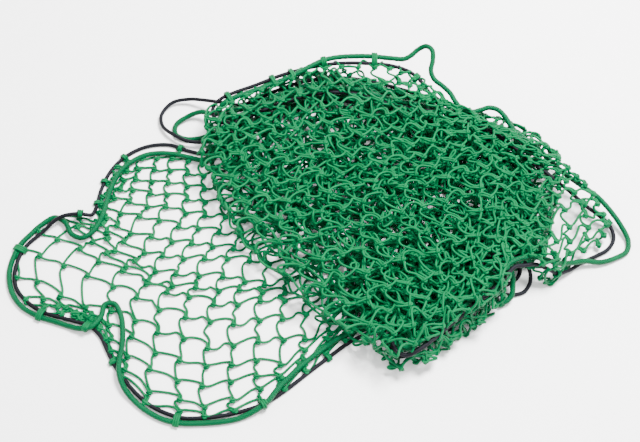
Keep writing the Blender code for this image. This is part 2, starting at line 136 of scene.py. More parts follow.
TOP_LAYER = (
    (77, (-174, 153, 51.5), (-170, 62, 52), (-112, -48, 52), (-14, -170, 50), (106, -244, 49)),
    (80.9, (-90, 196, 51.5), (-55, 84, 57), (5, -20, 51), (96, -124, 55), (174, -188, 49)),
    (84.8, (5, 235, 53), (62, 107, 52), (125, 12, 58), (194, -76, 50), (242, -130, 51)),
    (86.8, (58, 240, 51), (120, 116, 56), (187, 32, 53), (246, -46, 54), (270, -100, 52)),
    (88.8, (108, 236, 52), (178, 124, 53), (245, 50, 56), (296, -28, 53), (304, -82, 50)),
    (91.4, (156, 211, 53), (178, 173, 53), (230, 135, 54), (272, 102, 54.5), (304, 67, 54),
     (331, 31, 53.5), (350, -6, 44), (356, -45, 34), (350, -84, 24)),
    (94, (190, 178, 51), (240, 148, 51), (292, 116, 52), (338, 92, 52), (367, 56, 48),
     (393, 32, 36), (416, 4, 26), (428, -26, 15), (414, -56, 8)),
)
LAYERS = (GROUND_LAYER, SECOND_LAYER, THIRD_LAYER, FOURTH_LAYER, TOP_LAYER)
print("sections in all:", sum(len(layer) for layer in LAYERS))

# %% [markdown]
# ## Curves through the points
# A smooth curve through the points of a section gives any v, and a smooth curve through
# those gives any u. Cubic Hermite pieces do both. They pass through every point of the
# table, which a B-spline would only come near.

# %% Draw smooth curves
def to_metres(point):
    """A point of the tables, in mm, as a point of the object, in metres."""
    return Vector((point[0] - MIDDLE[0], point[1] - MIDDLE[1], point[2])) * MM


def hermite(start, end, leave, arrive, t):
    """The point at share t of a cubic that leaves and arrives with given slopes."""
    blend = t * t * (3 - 2 * t)
    return (
        start * (1 - blend)
        + end * blend
        + leave * (t * (1 - t) ** 2)
        - arrive * (t * t * (1 - t))
    )


def smooth_at(points, numbers, where):
    """The point at a number along a smooth curve whose points carry numbers."""
    last = len(points) - 1
    step = max(i for i in range(last) if i == 0 or numbers[i] <= where)
    span = numbers[step + 1] - numbers[step]

    def slope(i):
        low, high = max(i - 1, 0), min(i + 1, last)
        return (points[high] - points[low]) * (span / (numbers[high] - numbers[low]))

    t = (where - numbers[step]) / span
    return hermite(points[step], points[step + 1], slope(step), slope(step + 1), t)


print("the tables' own origin, in metres:", to_metres((0, 0, 0)))

# %% [markdown]
# ## Any place on one layer
# Each section is asked for its point at v, and a curve through those points is asked for
# u. A fold takes up a small part of a mesh on both its sides, so the rest of the layer is
# stretched to make room for it.

# %% Ask one layer
def on_layer(layer, u, v):
    """The point at mesh numbers u, v of one layer, as the tables give it."""
    low, high = layer[0][0], layer[-1][0]
    start = low + (FOLD_HALF if low else 0)
    end = high - (FOLD_HALF if high < MESHES_ALONG else 0)
    stretched = low + (u - start) / (end - start) * (high - low)
    across = []
    for row in layer:
        points = [Vector(p) for p in row[1:]]
        meshes = range(0, MESHES_ACROSS + 1, MESHES_ACROSS // (len(points) - 1))
        across.append(smooth_at(points, meshes, v))
    return smooth_at(across, [row[0] for row in layer], stretched)


print("the middle of the flat end, in mm:", on_layer(GROUND_LAYER, 3, 8))

# %% [markdown]
# ## Folds
# A folded net turns back without a crease, because its twine is stiff. A Bend modifier
# could turn one layer into the next, but it would move them all. Here a half circle
# joins the end of a layer to the start of the one above, and leans over where the upper
# one doesn't start straight above.

# %% Ask the whole net
LEAN = 3  # how suddenly a fold leans over, halfway up


def on_fold(number, fold, angle, v):
    """The point of a fold at an angle of its half circle, from -90 to 90 degrees."""
    before, after = LAYERS[number], LAYERS[number + 1]
    end = fold - FOLD_HALF
    leave = on_layer(before, end, v)
    arrive = on_layer(after, fold + FOLD_HALF, v)
    line = on_layer(before, end, v + 1) - on_layer(before, end, v - 1)
    outward = Vector((line.y, -line.x, 0)).normalized()
    if outward.dot(leave - on_layer(before, end - 1, v)) < 0:
        outward.negate()
    risen = (1 + sin(angle)) / 2
    share = risen ** LEAN / (risen ** LEAN + (1 - risen) ** LEAN)
    point = leave.lerp(arrive, share)
    point += outward * (arrive.z - leave.z) / 2 * cos(angle)
    point.z = leave.z + (arrive.z - leave.z) * risen
    return point


def on_net(u, v):
    """The point in metres where the net's middle surface has mesh numbers u, v."""
    for number, fold in enumerate(FOLDS):
        if abs(u - fold) < FOLD_HALF:
            return to_metres(on_fold(number, fold, (u - fold) / FOLD_HALF * pi / 2, v))
    layer = LAYERS[sum(u > fold for fold in FOLDS)]
    return to_metres(on_layer(layer, u, v))


print("middle of the net:", on_net(37.5, 8))

# %% [markdown]
# ## The routes of the two cords
# A black elastic cord and a green rope run side by side round the whole net. Most of
# their way follows from the net: along the edge of each layer, and round inside each
# fold. The loops that they make where they leave the edge were placed point by point.
# A physics simulation could lay a rope too, but it wouldn't lay these loops.

# %% Sizes of the cords, and where they follow the edge
ELASTIC_RADIUS = 3.0 * MM
ROPE_RADIUS = 4.0 * MM
NEAR, FAR = 7.2, 16.0  # how far outside the edge a cord lies, in mm
PASS_STEP = 2.35  # meshes from one point of a pass to the next
TURN_SHARES, TURN_PULL = (0.25, 0.5, 0.75), 2  # the points of a turn, and how wide it is
ROPE_SETBACK = 0.15  # meshes by which the rope turns back earlier
# The first and the last mesh of each layer along which the cords follow its edge
BACK_PASSES = ((7.5, 23.9), (28.1, 40.9), (45.4, 57.9), (62.1, 74.9), (79.1, 82.9))
FRONT_PASSES = ((16.0, 23.2), (28.7, 40.5), (45.5, 50.2), (63.3, 74.9), (79.1, 86.8))
ELASTIC_REACHES = (FAR, NEAR, FAR, NEAR, FAR)
ROPE_REACHES = (NEAR, FAR, NEAR, FAR, NEAR)

print("layers that the cords pass:", len(BACK_PASSES), "at the back", len(FRONT_PASSES), "in front")

# %% [markdown]
# Round the flat end both cords were placed point by point, as the photograph shows them.
# The elastic keeps outside the meshes. At the two notches the rope crosses it, and lies
# on the netting.

# %% Routes round the flat end, in millimetres
ELASTIC_FLAT_END = (
    (46, -207, 3), (14, -231, 3), (-18, -257, 3), (-48, -282, 3), (-76, -301, 3),
    (-106, -312, 3), (-135, -319, 3), (-162, -322, 3), (-188, -322, 3), (-209, -316, 3),
    (-232, -305, 3), (-252, -289, 3), (-274, -265, 3), (-289, -244, 3), (-301, -222, 3),
    (-313, -200, 3), (-330, -184, 3), (-358, -175, 3), (-400, -162, 3), (-424, -146, 3),
    (-442, -126, 3), (-449, -97, 3), (-441, -59, 3), (-415, -30, 6), (-390, -11, 15.8),
    (-364, -5, 15.8), (-345, -3, 9), (-340, 16, 3), (-336, 45, 3), (-326, 76, 3),
    (-306, 104, 3), (-274, 124, 3), (-238, 128, 3), (-208, 117, 3), (-182, 112, 3),
)
ROPE_FLAT_END = (
    (30, -203, 8.8), (8, -219, 7.9), (-17, -239, 7.9), (-42, -263, 7.9), (-60, -284, 9.5),
    (-71, -300, 11.3), (-87, -312, 8), (-111, -323, 4), (-135, -328, 4), (-162, -330, 4),
    (-189, -330, 4), (-213, -325, 4), (-237, -313, 4), (-258, -296, 4.6), (-272, -279, 8.5),
    (-280, -258, 11.3), (-281, -236, 10), (-280, -215, 7.9), (-281, -195, 7.9),
    (-285, -172, 7.9), (-297, -151, 7.9), (-310, -152, 7.9), (-314, -172, 9),
    (-326, -189, 11), (-343, -190, 7.5), (-362, -184, 4), (-383, -177, 4), (-404, -170, 4),
    (-432, -153, 4), (-450, -128, 4), (-457, -96, 4), (-449, -56, 4), (-433, -33, 4),
    (-418, -16, 4), (-401, -6, 6), (-384, -15, 7.9), (-371, -36, 7.9), (-355, -42, 7.9),
    (-341, -32, 7.9), (-332, -15, 7.9), (-327, 3, 7.9), (-324, 24, 7.9), (-319, 49, 7.9),
    (-310, 73, 7.9), (-295, 91, 7.9), (-273, 105, 7.9), (-250, 109, 7.9), (-226, 107, 7.9),
    (-203, 101, 7.9), (-181, 97, 7.9),
)
print("points round the flat end:", len(ELASTIC_FLAT_END), len(ROPE_FLAT_END))

# %% [markdown]
# Where a cord was too long for the folded edge, it sprang out as a loop. Two loops lie
# behind the pile and two in front of it.

# %% Routes of the loops, in millimetres
ELASTIC_BACK_LOOP = (
    (-152, 141, 11), (-168, 131, 10.5), (-186, 127, 11.5), (-208, 129, 12.5), (-230, 141, 12),
    (-249, 160, 8), (-253, 184, 6), (-237, 206, 8), (-210, 210, 12), (-186, 204, 18),
    (-162, 196, 24),
)
ROPE_BACK_LOOP = (
    (-153, 153, 11), (-170, 145, 8.5), (-190, 139, 5), (-212, 138, 4.5), (-228, 147, 4.5),
    (-229, 164, 5), (-212, 178, 8), (-190, 182, 16), (-168, 174, 22), (-146, 175, 25),
)
ELASTIC_FRONT_LOOP = (
    (276, -87, 38.5), (292, -91, 34), (304, -103, 23), (306, -118, 10), (297, -130, 3.2),
    (281, -135, 3.2), (264, -138, 10), (250, -145, 20), (236, -157, 25),
)
ROPE_FRONT_LOOP = (
    (272, -107, 36), (278, -116, 28), (279, -127, 18), (277, -140, 12), (268, -148, 8),
    (256, -149, 5), (244, -148, 7), (232, -150, 13), (220, -158, 21),
)
print("points in the loops at the back:", len(ELASTIC_BACK_LOOP), len(ROPE_BACK_LOOP))

# %% [markdown]
# On top of the pile the cords run round the far end of the net. The rope stands up in a
# peak behind the pile, and both drop over its side to the ground at the bare corner.

# %% Routes round the far end, in millimetres
ELASTIC_FAR_END = (
    (8, 249, 51), (42, 252, 51.5), (74, 251, 52), (111, 247, 52), (142, 235, 51),
    (158, 220, 48.5), (170, 202, 45.5), (181, 183, 44.8), (196, 165, 44.8), (215, 150, 44.8),
    (240, 136, 44.8), (262, 125, 44.8), (283, 109, 44.8), (305, 86, 44.8), (326, 63, 44.5),
    (340, 51, 44.1), (354, 39, 40), (374, 26, 32), (400, 4, 23), (419, -8, 15), (434, -21, 10),
    (439, -42, 6), (429, -59, 4), (411, -70, 3.5), (388, -81, 3.5), (366, -97, 8),
    (345, -108, 20), (326, -108, 36), (308, -107, 46), (291, -111, 50),
)
ROPE_FAR_END = (
    (-35, 228, 57), (-16, 239, 59.3), (6, 252, 58.8), (26, 259, 57), (50, 262, 56),
    (80, 262, 56), (114, 258, 56), (134, 256, 57), (145, 260, 61), (156, 267, 67),
    (168, 268, 74), (177, 260, 74), (178, 246, 66), (175, 232, 58), (180, 219, 53),
    (192, 208, 51), (204, 194, 50), (211, 179, 49), (220, 167, 47.5), (236, 160, 47),
    (250, 163, 48), (263, 166, 50), (276, 162, 50), (287, 149, 48.5), (294, 134, 47),
    (304, 120, 45.5), (320, 106, 44.5), (340, 86, 42), (356, 68, 38), (374, 52, 34),
    (396, 35, 30), (419, 19, 24), (437, -2, 18), (451, -24, 12), (460, -45, 6),
    (456, -63, 4.2), (437, -75, 4.5), (414, -83, 7), (390, -84, 12.5), (367, -90, 18),
    (345, -96, 29), (326, -97, 42), (308, -96, 48.5), (290, -99, 51),
)
print("points round the far end:", len(ELASTIC_FAR_END), len(ROPE_FAR_END))

# %% [markdown]
# ## Along the edges
# Along each layer of the pile a cord keeps beside the edge of the net. A curve could be
# drawn there by hand too, but it would drift into the netting. Asking the net for its
# edge, and stepping outward from it, keeps the cord at an even distance.

# %% Follow the edge of the net
def evenly(start, end, step):
    """Numbers from start to end, both among them, no more than a step apart."""
    parts = ceil((end - start) / step)
    return [start + (end - start) * i / parts for i in range(parts + 1)]


def edge_point(u, v, reach, radius):
    """A point beside the net's edge at v, reach mm outside it, for a cord."""
    here = on_net(u, v)
    inside = on_net(u, abs(v - 1))
    along = on_net(u + FOLD_HALF, v) - on_net(u - FOLD_HALF, v)
    along.z = 0
    along.normalize()
    outward = here - inside
    outward.z = 0
    outward -= along * outward.dot(along)
    point = here + outward.normalized() * reach * MM
    point.z = max(point.z, radius)
    return point


def edge_passes(layer_meshes, v, reaches, radius, setback):
    """A cord's points along each layer's edge, as the net runs."""
    return [
        [
            edge_point(u, v, reach, radius)
            for u in evenly(first + setback, last - setback, PASS_STEP)
        ]
        for (first, last), reach in zip(layer_meshes, reaches)
    ]


print("points along the longest pass:", len(evenly(*BACK_PASSES[0], PASS_STEP)))

# %% [markdown]
# ## Joining the parts
# At a fold the cord turns back inside it, from one layer's edge to the next one's. The
# turn gets three points of its own, halfway up. Then all the parts follow each other
# round the net in one ring: flat end, back, far end, front.

# %% Join the parts of a route
def joined(arrive, leave):
    """Two passes in one route, turned round between their layers inside the fold."""
    ahead = (arrive[-1] - arrive[-2]).normalized()
    back = (leave[1] - leave[0]).normalized()
    lead = (arrive[-1] - leave[0]).dot(ahead)
    start = arrive[-1] + ahead * max(0, -lead)
    end = leave[0] - back * max(0, lead)
    reach = (end - start).length * TURN_PULL
    turn = []
    for share in TURN_SHARES:
        point = hermite(start, end, ahead * reach, back * reach, share)
        point.z = (start.z + end.z) / 2
        turn.append(point)
    return arrive[:-1] + [start] + turn + [end] + leave[1:]


def ring_route(by_hand, back, front):
    """One cord's closed route: the listed parts, and the passes between them."""
    flat_end, back_loop, far_end, front_loop = ([to_metres(p) for p in part] for part in by_hand)
    front = [points[::-1] for points in front]
    route = flat_end + joined(back[0], back[1])
    route += back_loop + joined(joined(back[2], back[3]), back[4])
    route += far_end + joined(front[4], front[3])
    route += front_loop + joined(joined(front[2], front[1]), front[0])
    return route


print("points in each turn inside a fold:", len(TURN_SHARES))

# %% [markdown]
# ## One smooth ring
# A rope can't bend sharply, so its route is one smooth curve. The slopes here are those
# of a centripetal Catmull-Rom curve, which makes no small loops where two points of the
# route lie close together. A Bezier curve with automatic handles would be the nearest
# thing in Blender's own tools, but its rings would not be evenly spaced.

# %% Smooth the routes
def smooth_ring(route, step):
    """Points of a smooth closed curve through a route, about a step apart."""
    curve = []
    for i in range(len(route)):
        p0, p1, p2, p3 = (route[(i + k) % len(route)] for k in (-1, 0, 1, 2))
        g0, g1, g2 = ((b - a).length ** 0.5 for a, b in ((p0, p1), (p1, p2), (p2, p3)))
        leave = ((p1 - p0) / g0 - (p2 - p0) / (g0 + g1) + (p2 - p1) / g1) * g1
        arrive = ((p2 - p1) / g1 - (p3 - p1) / (g1 + g2) + (p3 - p2) / g2) * g1
        steps = max(1, round((p2 - p1).length / step))
        curve += [hermite(p1, p2, leave, arrive, k / steps) for k in range(steps)]
    return curve


def cord_line(by_hand, reaches, radius, setback, step):
    """The centre line of one cord."""
    back = edge_passes(BACK_PASSES, 0, reaches, radius, setback)
    front = edge_passes(FRONT_PASSES, MESHES_ACROSS, reaches, radius, setback)
    line = smooth_ring(ring_route(by_hand, back, front), step)
    for point in line:
        point.z = max(point.z, radius)
    return line


CORD_STEP = 2.5 * MM
elastic_line = cord_line(
    (ELASTIC_FLAT_END, ELASTIC_BACK_LOOP, ELASTIC_FAR_END, ELASTIC_FRONT_LOOP),
    ELASTIC_REACHES, ELASTIC_RADIUS, 0, CORD_STEP,
)
rope_line = cord_line(
    (ROPE_FLAT_END, ROPE_BACK_LOOP, ROPE_FAR_END, ROPE_FRONT_LOOP),
    ROPE_REACHES, ROPE_RADIUS, ROPE_SETBACK, CORD_STEP,
)
print("rings on the elastic and the rope:", len(elastic_line), len(rope_line))

# %% [markdown]
# ## Rings along a line
# Every piece of this object is something long and round that follows a line. Blender's
# curves have a bevel for that. These tubes are swept by hand instead, for two reasons:
# each ring can swell and shrink to show the plaits of a braid, and the mesh can carry a
# map of the length along the tube and the angle round it, which the materials need. A
# ring needs two directions square to the line, which turn as little as may be from one
# ring to the next, or the braid would look twisted.

# %% Find the directions of the rings
def ring_frames(line, closed):
    """Two directions square to the line at each point, turned as little as may be."""
    count = len(line)
    tangents = []
    for i in range(count):
        after = line[(i + 1) % count] if closed or i < count - 1 else line[i]
        before = line[i - 1] if closed or i > 0 else line[i]
        tangents.append((after - before).normalized())
    side = tangents[0].orthogonal().normalized()
    sides = [side]
    for old, new in zip(tangents, tangents[1:]):
        side = side.copy()
        side.rotate(old.rotation_difference(new))
        sides.append(side)
    if closed:
        around = sides[-1].copy()
        around.rotate(tangents[-1].rotation_difference(tangents[0]))
        twist = around.angle(sides[0])
        if around.cross(sides[0]).dot(tangents[0]) < 0:
            twist = -twist
        turned = []
        for i, (side, tangent) in enumerate(zip(sides, tangents)):
            turn = twist * i / count
            turned.append(side * cos(turn) + tangent.cross(side) * sin(turn))
        sides = turned
    ups = [tangent.cross(side) for tangent, side in zip(tangents, sides)]
    return np.array(sides), np.array(ups)


print("rings on the elastic:", len(ring_frames(elastic_line, True)[0]))

# %% [markdown]
# ## A tube
# The points lie round each ring, and four-sided faces join one ring to the next. A loop
# could place them one by one. The net has nearly half a million points, though, so numpy
# works out those of a whole tube at once.

# %% Sweep a tube along a line
def tube(line, radius, corners, closed=False, relief=None):
    """Points, four-sided faces, end faces and face maps of one tube along a line."""
    sides, ups = ring_frames(line, closed)
    centres = np.array(line)
    count = len(line)
    angle = np.arange(corners) / corners
    gaps = np.linalg.norm(np.roll(centres, -1, 0) - centres, axis=1)
    along = np.concatenate([[0], np.cumsum(gaps)])
    swell = np.full((count, corners), radius)
    if relief is not None:
        swell = swell + relief(along[:count, None], angle[None, :])
    points = (
        centres[:, None]
        + swell[..., None] * np.cos(tau * angle)[None, :, None] * sides[:, None]
        + swell[..., None] * np.sin(tau * angle)[None, :, None] * ups[:, None]
    ).reshape(-1, 3)
    ring = np.arange(count if closed else count - 1)[:, None]
    corner = np.arange(corners)[None, :]
    next_ring, next_corner = (ring + 1) % count, (corner + 1) % corners
    quads = np.stack([
        ring * corners + corner,
        ring * corners + next_corner,
        next_ring * corners + next_corner,
        next_ring * corners + corner,
    ], axis=-1).reshape(-1, 4)
    low, high = along[ring] + 0 * corner, along[ring + 1] + 0 * corner
    left, right = (corner + 0 * ring) / corners, (corner + 1 + 0 * ring) / corners
    maps = np.stack([
        np.stack([low, left], -1), np.stack([low, right], -1),
        np.stack([high, right], -1), np.stack([high, left], -1),
    ], axis=2).reshape(-1, 2)
    ends = [] if closed else [
        list(range(corners))[::-1],
        list(range((count - 1) * corners, count * corners)),
    ]
    return points, quads, ends, maps


print("faces of a plain tube along the rope:", len(tube(rope_line, ROPE_RADIUS, 8, True)[1]))

# %% [markdown]
# ## Many tubes in one piece
# Two hundred objects would be awkward to handle, so the tubes that belong together
# become one mesh. Each piece rides on the frame's only body, because a net has no joint.

# %% Make an object of tubes
def piece_of_tubes(name, tubes, material):
    """One object made of many tubes, smooth, with the map named braid."""
    points, faces, ends, maps = [], [], [], []
    start = 0
    for tube_points, quads, tube_ends, tube_maps in tubes:
        points.append(tube_points)
        faces.append(quads + start)
        ends += [[start + i for i in end] for end in tube_ends]
        maps.append(tube_maps)
        start += len(tube_points)
    mesh = bpy.data.meshes.new(name)
    mesh.from_pydata(np.concatenate(points).tolist(), [], np.concatenate(faces).tolist() + ends)
    braid = mesh.uv_layers.new(name="braid")
    flat = np.zeros((len(mesh.loops), 2))
    side_maps = np.concatenate(maps)
    flat[:len(side_maps)] = side_maps
    braid.data.foreach_set("uv", flat.ravel())
    mesh.shade_smooth()
    mesh.materials.append(material)
    piece = bpy.data.objects.new(name, mesh)
    bpy.context.scene.collection.objects.link(piece)
    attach(piece, "root")
    print(name, "faces", len(mesh.polygons))
    return piece


print("helper for pieces:", piece_of_tubes.__name__)

# %% [markdown]
# ## Materials
# All three are plaited from fine shiny threads: polyethylene in the twine and the rope,
# polyester round the rubber of the elastic. A photograph of a braid could be wrapped
# round them. Here nodes make the pattern instead, because it then has no seam and stays
# sharp from close by. Two helpers keep the node trees short to write.

# %% Add nodes to a material
def new_node(material, kind, **settings):
    """A new node of a material, with its settings."""
    node = material.node_tree.nodes.new(kind)
    for key, value in settings.items():
        setattr(node, key, value)
    return node


def maths(material, operation, a, b=None):
    """The result of one sum, of numbers or of other nodes' results."""
    node = new_node(material, "ShaderNodeMath", operation=operation)
    for socket, value in zip(node.inputs, (a, b)):
        if isinstance(value, (int, float)):
            socket.default_value = value
        elif value is not None:
            material.node_tree.links.new(value, socket)
    return node.outputs[0]


print("helpers for nodes:", new_node.__name__, maths.__name__)

# %% [markdown]
# A braid has threads that wind to the left and to the right. Two sets of slanting waves
# show them, made from the map of length and angle, so that they follow every bend. Their
# product is high where two threads cross and low in the hollows between. Fine noise adds
# the grain of the fibres, and coarse noise the fading of the dye.

# %% Draw threads and grain
def crossing_threads(material, pitch, threads):
    """How high the threads stand: 0 in the hollows, and 1 on the crowns."""
    where = new_node(material, "ShaderNodeUVMap", uv_map="braid")
    parts = new_node(material, "ShaderNodeSeparateXYZ")
    material.node_tree.links.new(where.outputs[0], parts.inputs[0])
    along = maths(material, "MULTIPLY", parts.outputs[0], tau / pitch)
    around = maths(material, "MULTIPLY", parts.outputs[1], tau * threads)
    left = maths(material, "SINE", maths(material, "ADD", along, around))
    right = maths(material, "SINE", maths(material, "SUBTRACT", along, around))
    return maths(material, "ABSOLUTE", maths(material, "MULTIPLY", left, right))


def uneven(material, scale, detail):
    """Noise in the object's own space, from 0 to 1."""
    texture = new_node(material, "ShaderNodeTexNoise")
    texture.inputs["Scale"].default_value = scale
    texture.inputs["Detail"].default_value = detail
    place = new_node(material, "ShaderNodeTexCoord")
    material.node_tree.links.new(place.outputs["Object"], texture.inputs["Vector"])
    return texture.outputs[0]


GRAIN, FADING = (900, 3), (45, 2)
print("grain about", round(1000 / GRAIN[0], 1), "mm, fading about", round(1000 / FADING[0]), "mm")

# %% [markdown]
# The height of the threads gives the bump, and it paints shade into the colour: darker
# in the hollows, lighter on the crowns. Plastic thread is glossy, but a braid of it
# breaks the gloss up, so the shine is weak and has the colour of the thread.

# %% Make a plaited material
# Shares in the colour of painted shade (darker hollows, lighter crowns) and of the dye's fading
BRAID_SHADING_IN_COLOUR, FADING_IN_COLOUR = 0.55, 0.6
DARKEST_AT, LIGHTEST_AT = 0.15, 0.85
ROUGHNESS_SPREAD = 0.2
BUMP_STRENGTH = 0.6
GRAIN_IN_BUMP = 0.25


def braid_material(name, dark, light, roughness, pitch, threads, depth, shine, tint):
    """A plaited thread, from its two colours (painted shade in the hollows, lighter crowns), its
    gloss and the size of its braid.
    """
    material = bpy.data.materials.new(name)
    material.use_nodes = True
    links = material.node_tree.links
    shader = material.node_tree.nodes["Principled BSDF"]
    crowns = crossing_threads(material, pitch, threads)
    grain = uneven(material, *GRAIN)
    fading = uneven(material, *FADING)

    colours = new_node(material, "ShaderNodeValToRGB")
    colours.color_ramp.elements[0].position = DARKEST_AT
    colours.color_ramp.elements[0].color = (*dark, 1)
    colours.color_ramp.elements[1].position = LIGHTEST_AT
    colours.color_ramp.elements[1].color = (*light, 1)
    # Painted shade: the colour is darker in the hollows of the braid and lighter on its crowns
    painted_braid_shading = maths(material, "MULTIPLY", crowns, BRAID_SHADING_IN_COLOUR)
    from_fading = maths(material, "MULTIPLY", fading, FADING_IN_COLOUR)
    links.new(maths(material, "ADD", painted_braid_shading, from_fading), colours.inputs[0])
    links.new(colours.outputs[0], shader.inputs["Base Color"])

    from_grain = maths(material, "MULTIPLY", grain, ROUGHNESS_SPREAD)
    dullness = maths(material, "ADD", roughness - ROUGHNESS_SPREAD / 2, from_grain)
    links.new(dullness, shader.inputs["Roughness"])
    shader.inputs["Specular IOR Level"].default_value = shine
    shader.inputs["Specular Tint"].default_value = (*tint, 1)

    bump = new_node(material, "ShaderNodeBump")
    bump.inputs["Strength"].default_value = BUMP_STRENGTH
    bump.inputs["Distance"].default_value = depth
    height = maths(material, "ADD", crowns, maths(material, "MULTIPLY", grain, GRAIN_IN_BUMP))
    links.new(height, bump.inputs["Height"])
    links.new(bump.outputs[0], shader.inputs["Normal"])
    return material


twine_green = braid_material(
    "twine_green", dark=(0.0, 0.03, 0.009), light=(0.0, 0.12, 0.036), roughness=0.5,
    pitch=5 * MM, threads=3, depth=0.4 * MM, shine=0.2, tint=(0.15, 1, 0.6),
)
rope_green = braid_material(
    "rope_green", dark=(0.0, 0.022, 0.006), light=(0.0, 0.062, 0.019), roughness=0.45,
    pitch=9 * MM, threads=4, depth=0.7 * MM, shine=0.2, tint=(0.15, 1, 0.6),
)
elastic_black = braid_material(
    "elastic_black", dark=(0.0008, 0.0008, 0.001), light=(0.003, 0.003, 0.0045), roughness=0.5,
    pitch=5 * MM, threads=6, depth=0.3 * MM, shine=0.12, tint=(0.8, 0.85, 1),
)
print("materials:", twine_green.name, rope_green.name, elastic_black.name)

# %% [markdown]
# ## The elastic cord and the rope
# With the lines, the tubes and the materials in place, each cord takes one call. The
# rope is plaited so coarsely that its outline shows it. A bump can't change an outline,
# so its rings swell by a fraction of a millimetre where the plaits cross. Both take the
# place of the plain cords of the frame.

# %% Make the two cords
ELASTIC_CORNERS, ROPE_CORNERS = 12, 16
PLAIT_HEIGHT, PLAIT_PITCH, PLAIT_THREADS = 0.35 * MM, 18 * MM, 2


def plaits(along, angle):
    """How far the rope swells at a length along it and a share of its turn."""
    left = np.sin(tau * (along / PLAIT_PITCH + angle * PLAIT_THREADS))
    right = np.sin(tau * (along / PLAIT_PITCH - angle * PLAIT_THREADS))
    return PLAIT_HEIGHT * (np.abs(left * right) - 0.5)


elastic_tube = tube(elastic_line, ELASTIC_RADIUS, ELASTIC_CORNERS, closed=True)
elastic = piece_of_tubes("elastic", [elastic_tube], elastic_black)
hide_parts("elastic_cord")

rope_tube = tube(rope_line, ROPE_RADIUS, ROPE_CORNERS, closed=True, relief=plaits)
rope = piece_of_tubes("rope", [rope_tube], rope_green)
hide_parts("border_rope")

# %% [markdown]
# ## The knots that can be seen
# There is a knot at every whole u and v. Where the net lies flat, each knot can be
# picked out in the photograph, and these lists say where, in its pixels: for each v the
# first u, and then the knots from that one to the right. The tables alone would place
# them too, but too evenly: this net was dropped, and its meshes lie as they fell.

# %% List the knots of the flat end, in pixels of the photograph
SEEN_KNOTS = {
    4: (2, (130, 203), (148, 208), (166, 208), (186, 215), (205, 217), (226, 218)),
    5: (1, (105, 207), (121, 215), (140, 218), (160, 222), (179, 228), (199, 230),
        (219, 234), (240, 236)),
    6: (2, (117, 227), (131, 235), (152, 238), (173, 243), (192, 245), (213, 248),
        (234, 250)),
    7: (2, (108, 233), (124, 243), (145, 254), (163, 257), (184, 260), (205, 260),
        (228, 260), (250, 262)),
    8: (2, (107, 240), (116, 252), (135, 262), (156, 273), (176, 275), (200, 277),
        (223, 278), (245, 283), (265, 286)),
    9: (0, (62, 219), (78, 228), (93, 243), (107, 254), (127, 268), (148, 282),
        (173, 287), (196, 289), (219, 292), (240, 291), (263, 293)),
    10: (0, (40, 232), (58, 241), (80, 250), (99, 263), (123, 272), (147, 285),
         (167, 293), (190, 298), (214, 306), (238, 306), (261, 302), (285, 302)),
    11: (0, (22, 251), (40, 257), (65, 267), (88, 277), (114, 288), (137, 299),
         (160, 311), (186, 318), (211, 323), (234, 325), (260, 322), (283, 320),
         (306, 315)),
    12: (0, (18, 278), (38, 283), (61, 297), (86, 308), (112, 312), (136, 322),
         (158, 334), (184, 340), (208, 349), (234, 347), (258, 343), (284, 341),
         (305, 340)),
    13: (0, (26, 300), (44, 300), (66, 308), (92, 316), (110, 326), (132, 338),
         (156, 354), (180, 362), (207, 367), (232, 366), (257, 362), (281, 366)),
    14: (0, (44, 309), (58, 308), (78, 314), (96, 321), (111, 340), (128, 358),
         (150, 370), (178, 382), (203, 387), (231, 383), (257, 377), (280, 377)),
    15: (0, (62, 315), (74, 314), (89, 318), (100, 329), (112, 352), (125, 370),
         (150, 393), (180, 401), (205, 408), (233, 401)),
    16: (0, (80, 319), (91, 321), (100, 328), (107, 341), (114, 362), (122, 378),
         (145, 403), (180, 412), (205, 417), (235, 412), (262, 403), (285, 390),
         (306, 372), (326, 354), (345, 341)),
}
print("rows of knots seen:", len(SEEN_KNOTS))

# %% [markdown]
# A ray from the camera through a pixel meets the ground at the knot's place. The knots
# lie on the ground there, so one ray each is enough.

# %% Put the seen knots on the ground
PHOTO_WIDTH, PHOTO_HEIGHT = 640, 442
TWINE_RADIUS = 1.9 * MM


def on_floor(pixel_x, pixel_y, height):
    """The point at a height above the floor that a pixel of the photograph shows."""
    to_pixel = camera.data.lens / camera.data.sensor_width * PHOTO_WIDTH
    ray = Vector((pixel_x - PHOTO_WIDTH / 2, PHOTO_HEIGHT / 2 - pixel_y, -to_pixel))
    ray.rotate(camera.rotation_euler)
    return camera.location + ray * ((height - camera.location.z) / ray.z)


seen = {
    (first + i, v): np.array(on_floor(x, y, TWINE_RADIUS))
    for v, (first, *spots) in SEEN_KNOTS.items()
    for i, (x, y) in enumerate(spots)
}
print("knots seen one by one:", len(seen))

# %% [markdown]
# ## Every knot
# The other knots start from the tables. Those of the flat end that no one can pick out
# are then moved as their seen neighbours are, and the nearer a neighbour, the more it
# counts. So the meshes change evenly from the seen ones to those under the pile.

# %% Place every knot
PILE_FROM, PILE_SLANT, PILE_FADE = 9, 0.35, 3  # where the pile starts, in meshes
FOLLOW = 1.5  # how far a seen knot's move spreads, in square meshes
STAY = 0.3  # how much a knot keeps to its own place

columns, rows = MESHES_ALONG + 1, MESHES_ACROSS + 1
knots = np.array([[on_net(u, v) for v in range(rows)] for u in range(columns)])
u_of, v_of = np.meshgrid(np.arange(columns), np.arange(rows), indexing="ij")
layer_of = sum((u_of > fold).astype(int) for fold in FOLDS)
in_pile = np.clip((u_of - PILE_FROM - PILE_SLANT * v_of) / PILE_FADE, 0, 1)

seen_at = np.array(list(seen))
moves = np.array([place - knots[u, v] for (u, v), place in seen.items()])
for u in range(FOLDS[0]):
    for v in range(rows):
        weights = np.exp(-((seen_at - (u, v)) ** 2).sum(1) / FOLLOW)
        if (u, v) in seen:
            knots[u, v] = seen[u, v]
        else:
            knots[u, v] += (weights[:, None] * moves).sum(0) / (weights.sum() + STAY)
print("knots:", columns * rows)

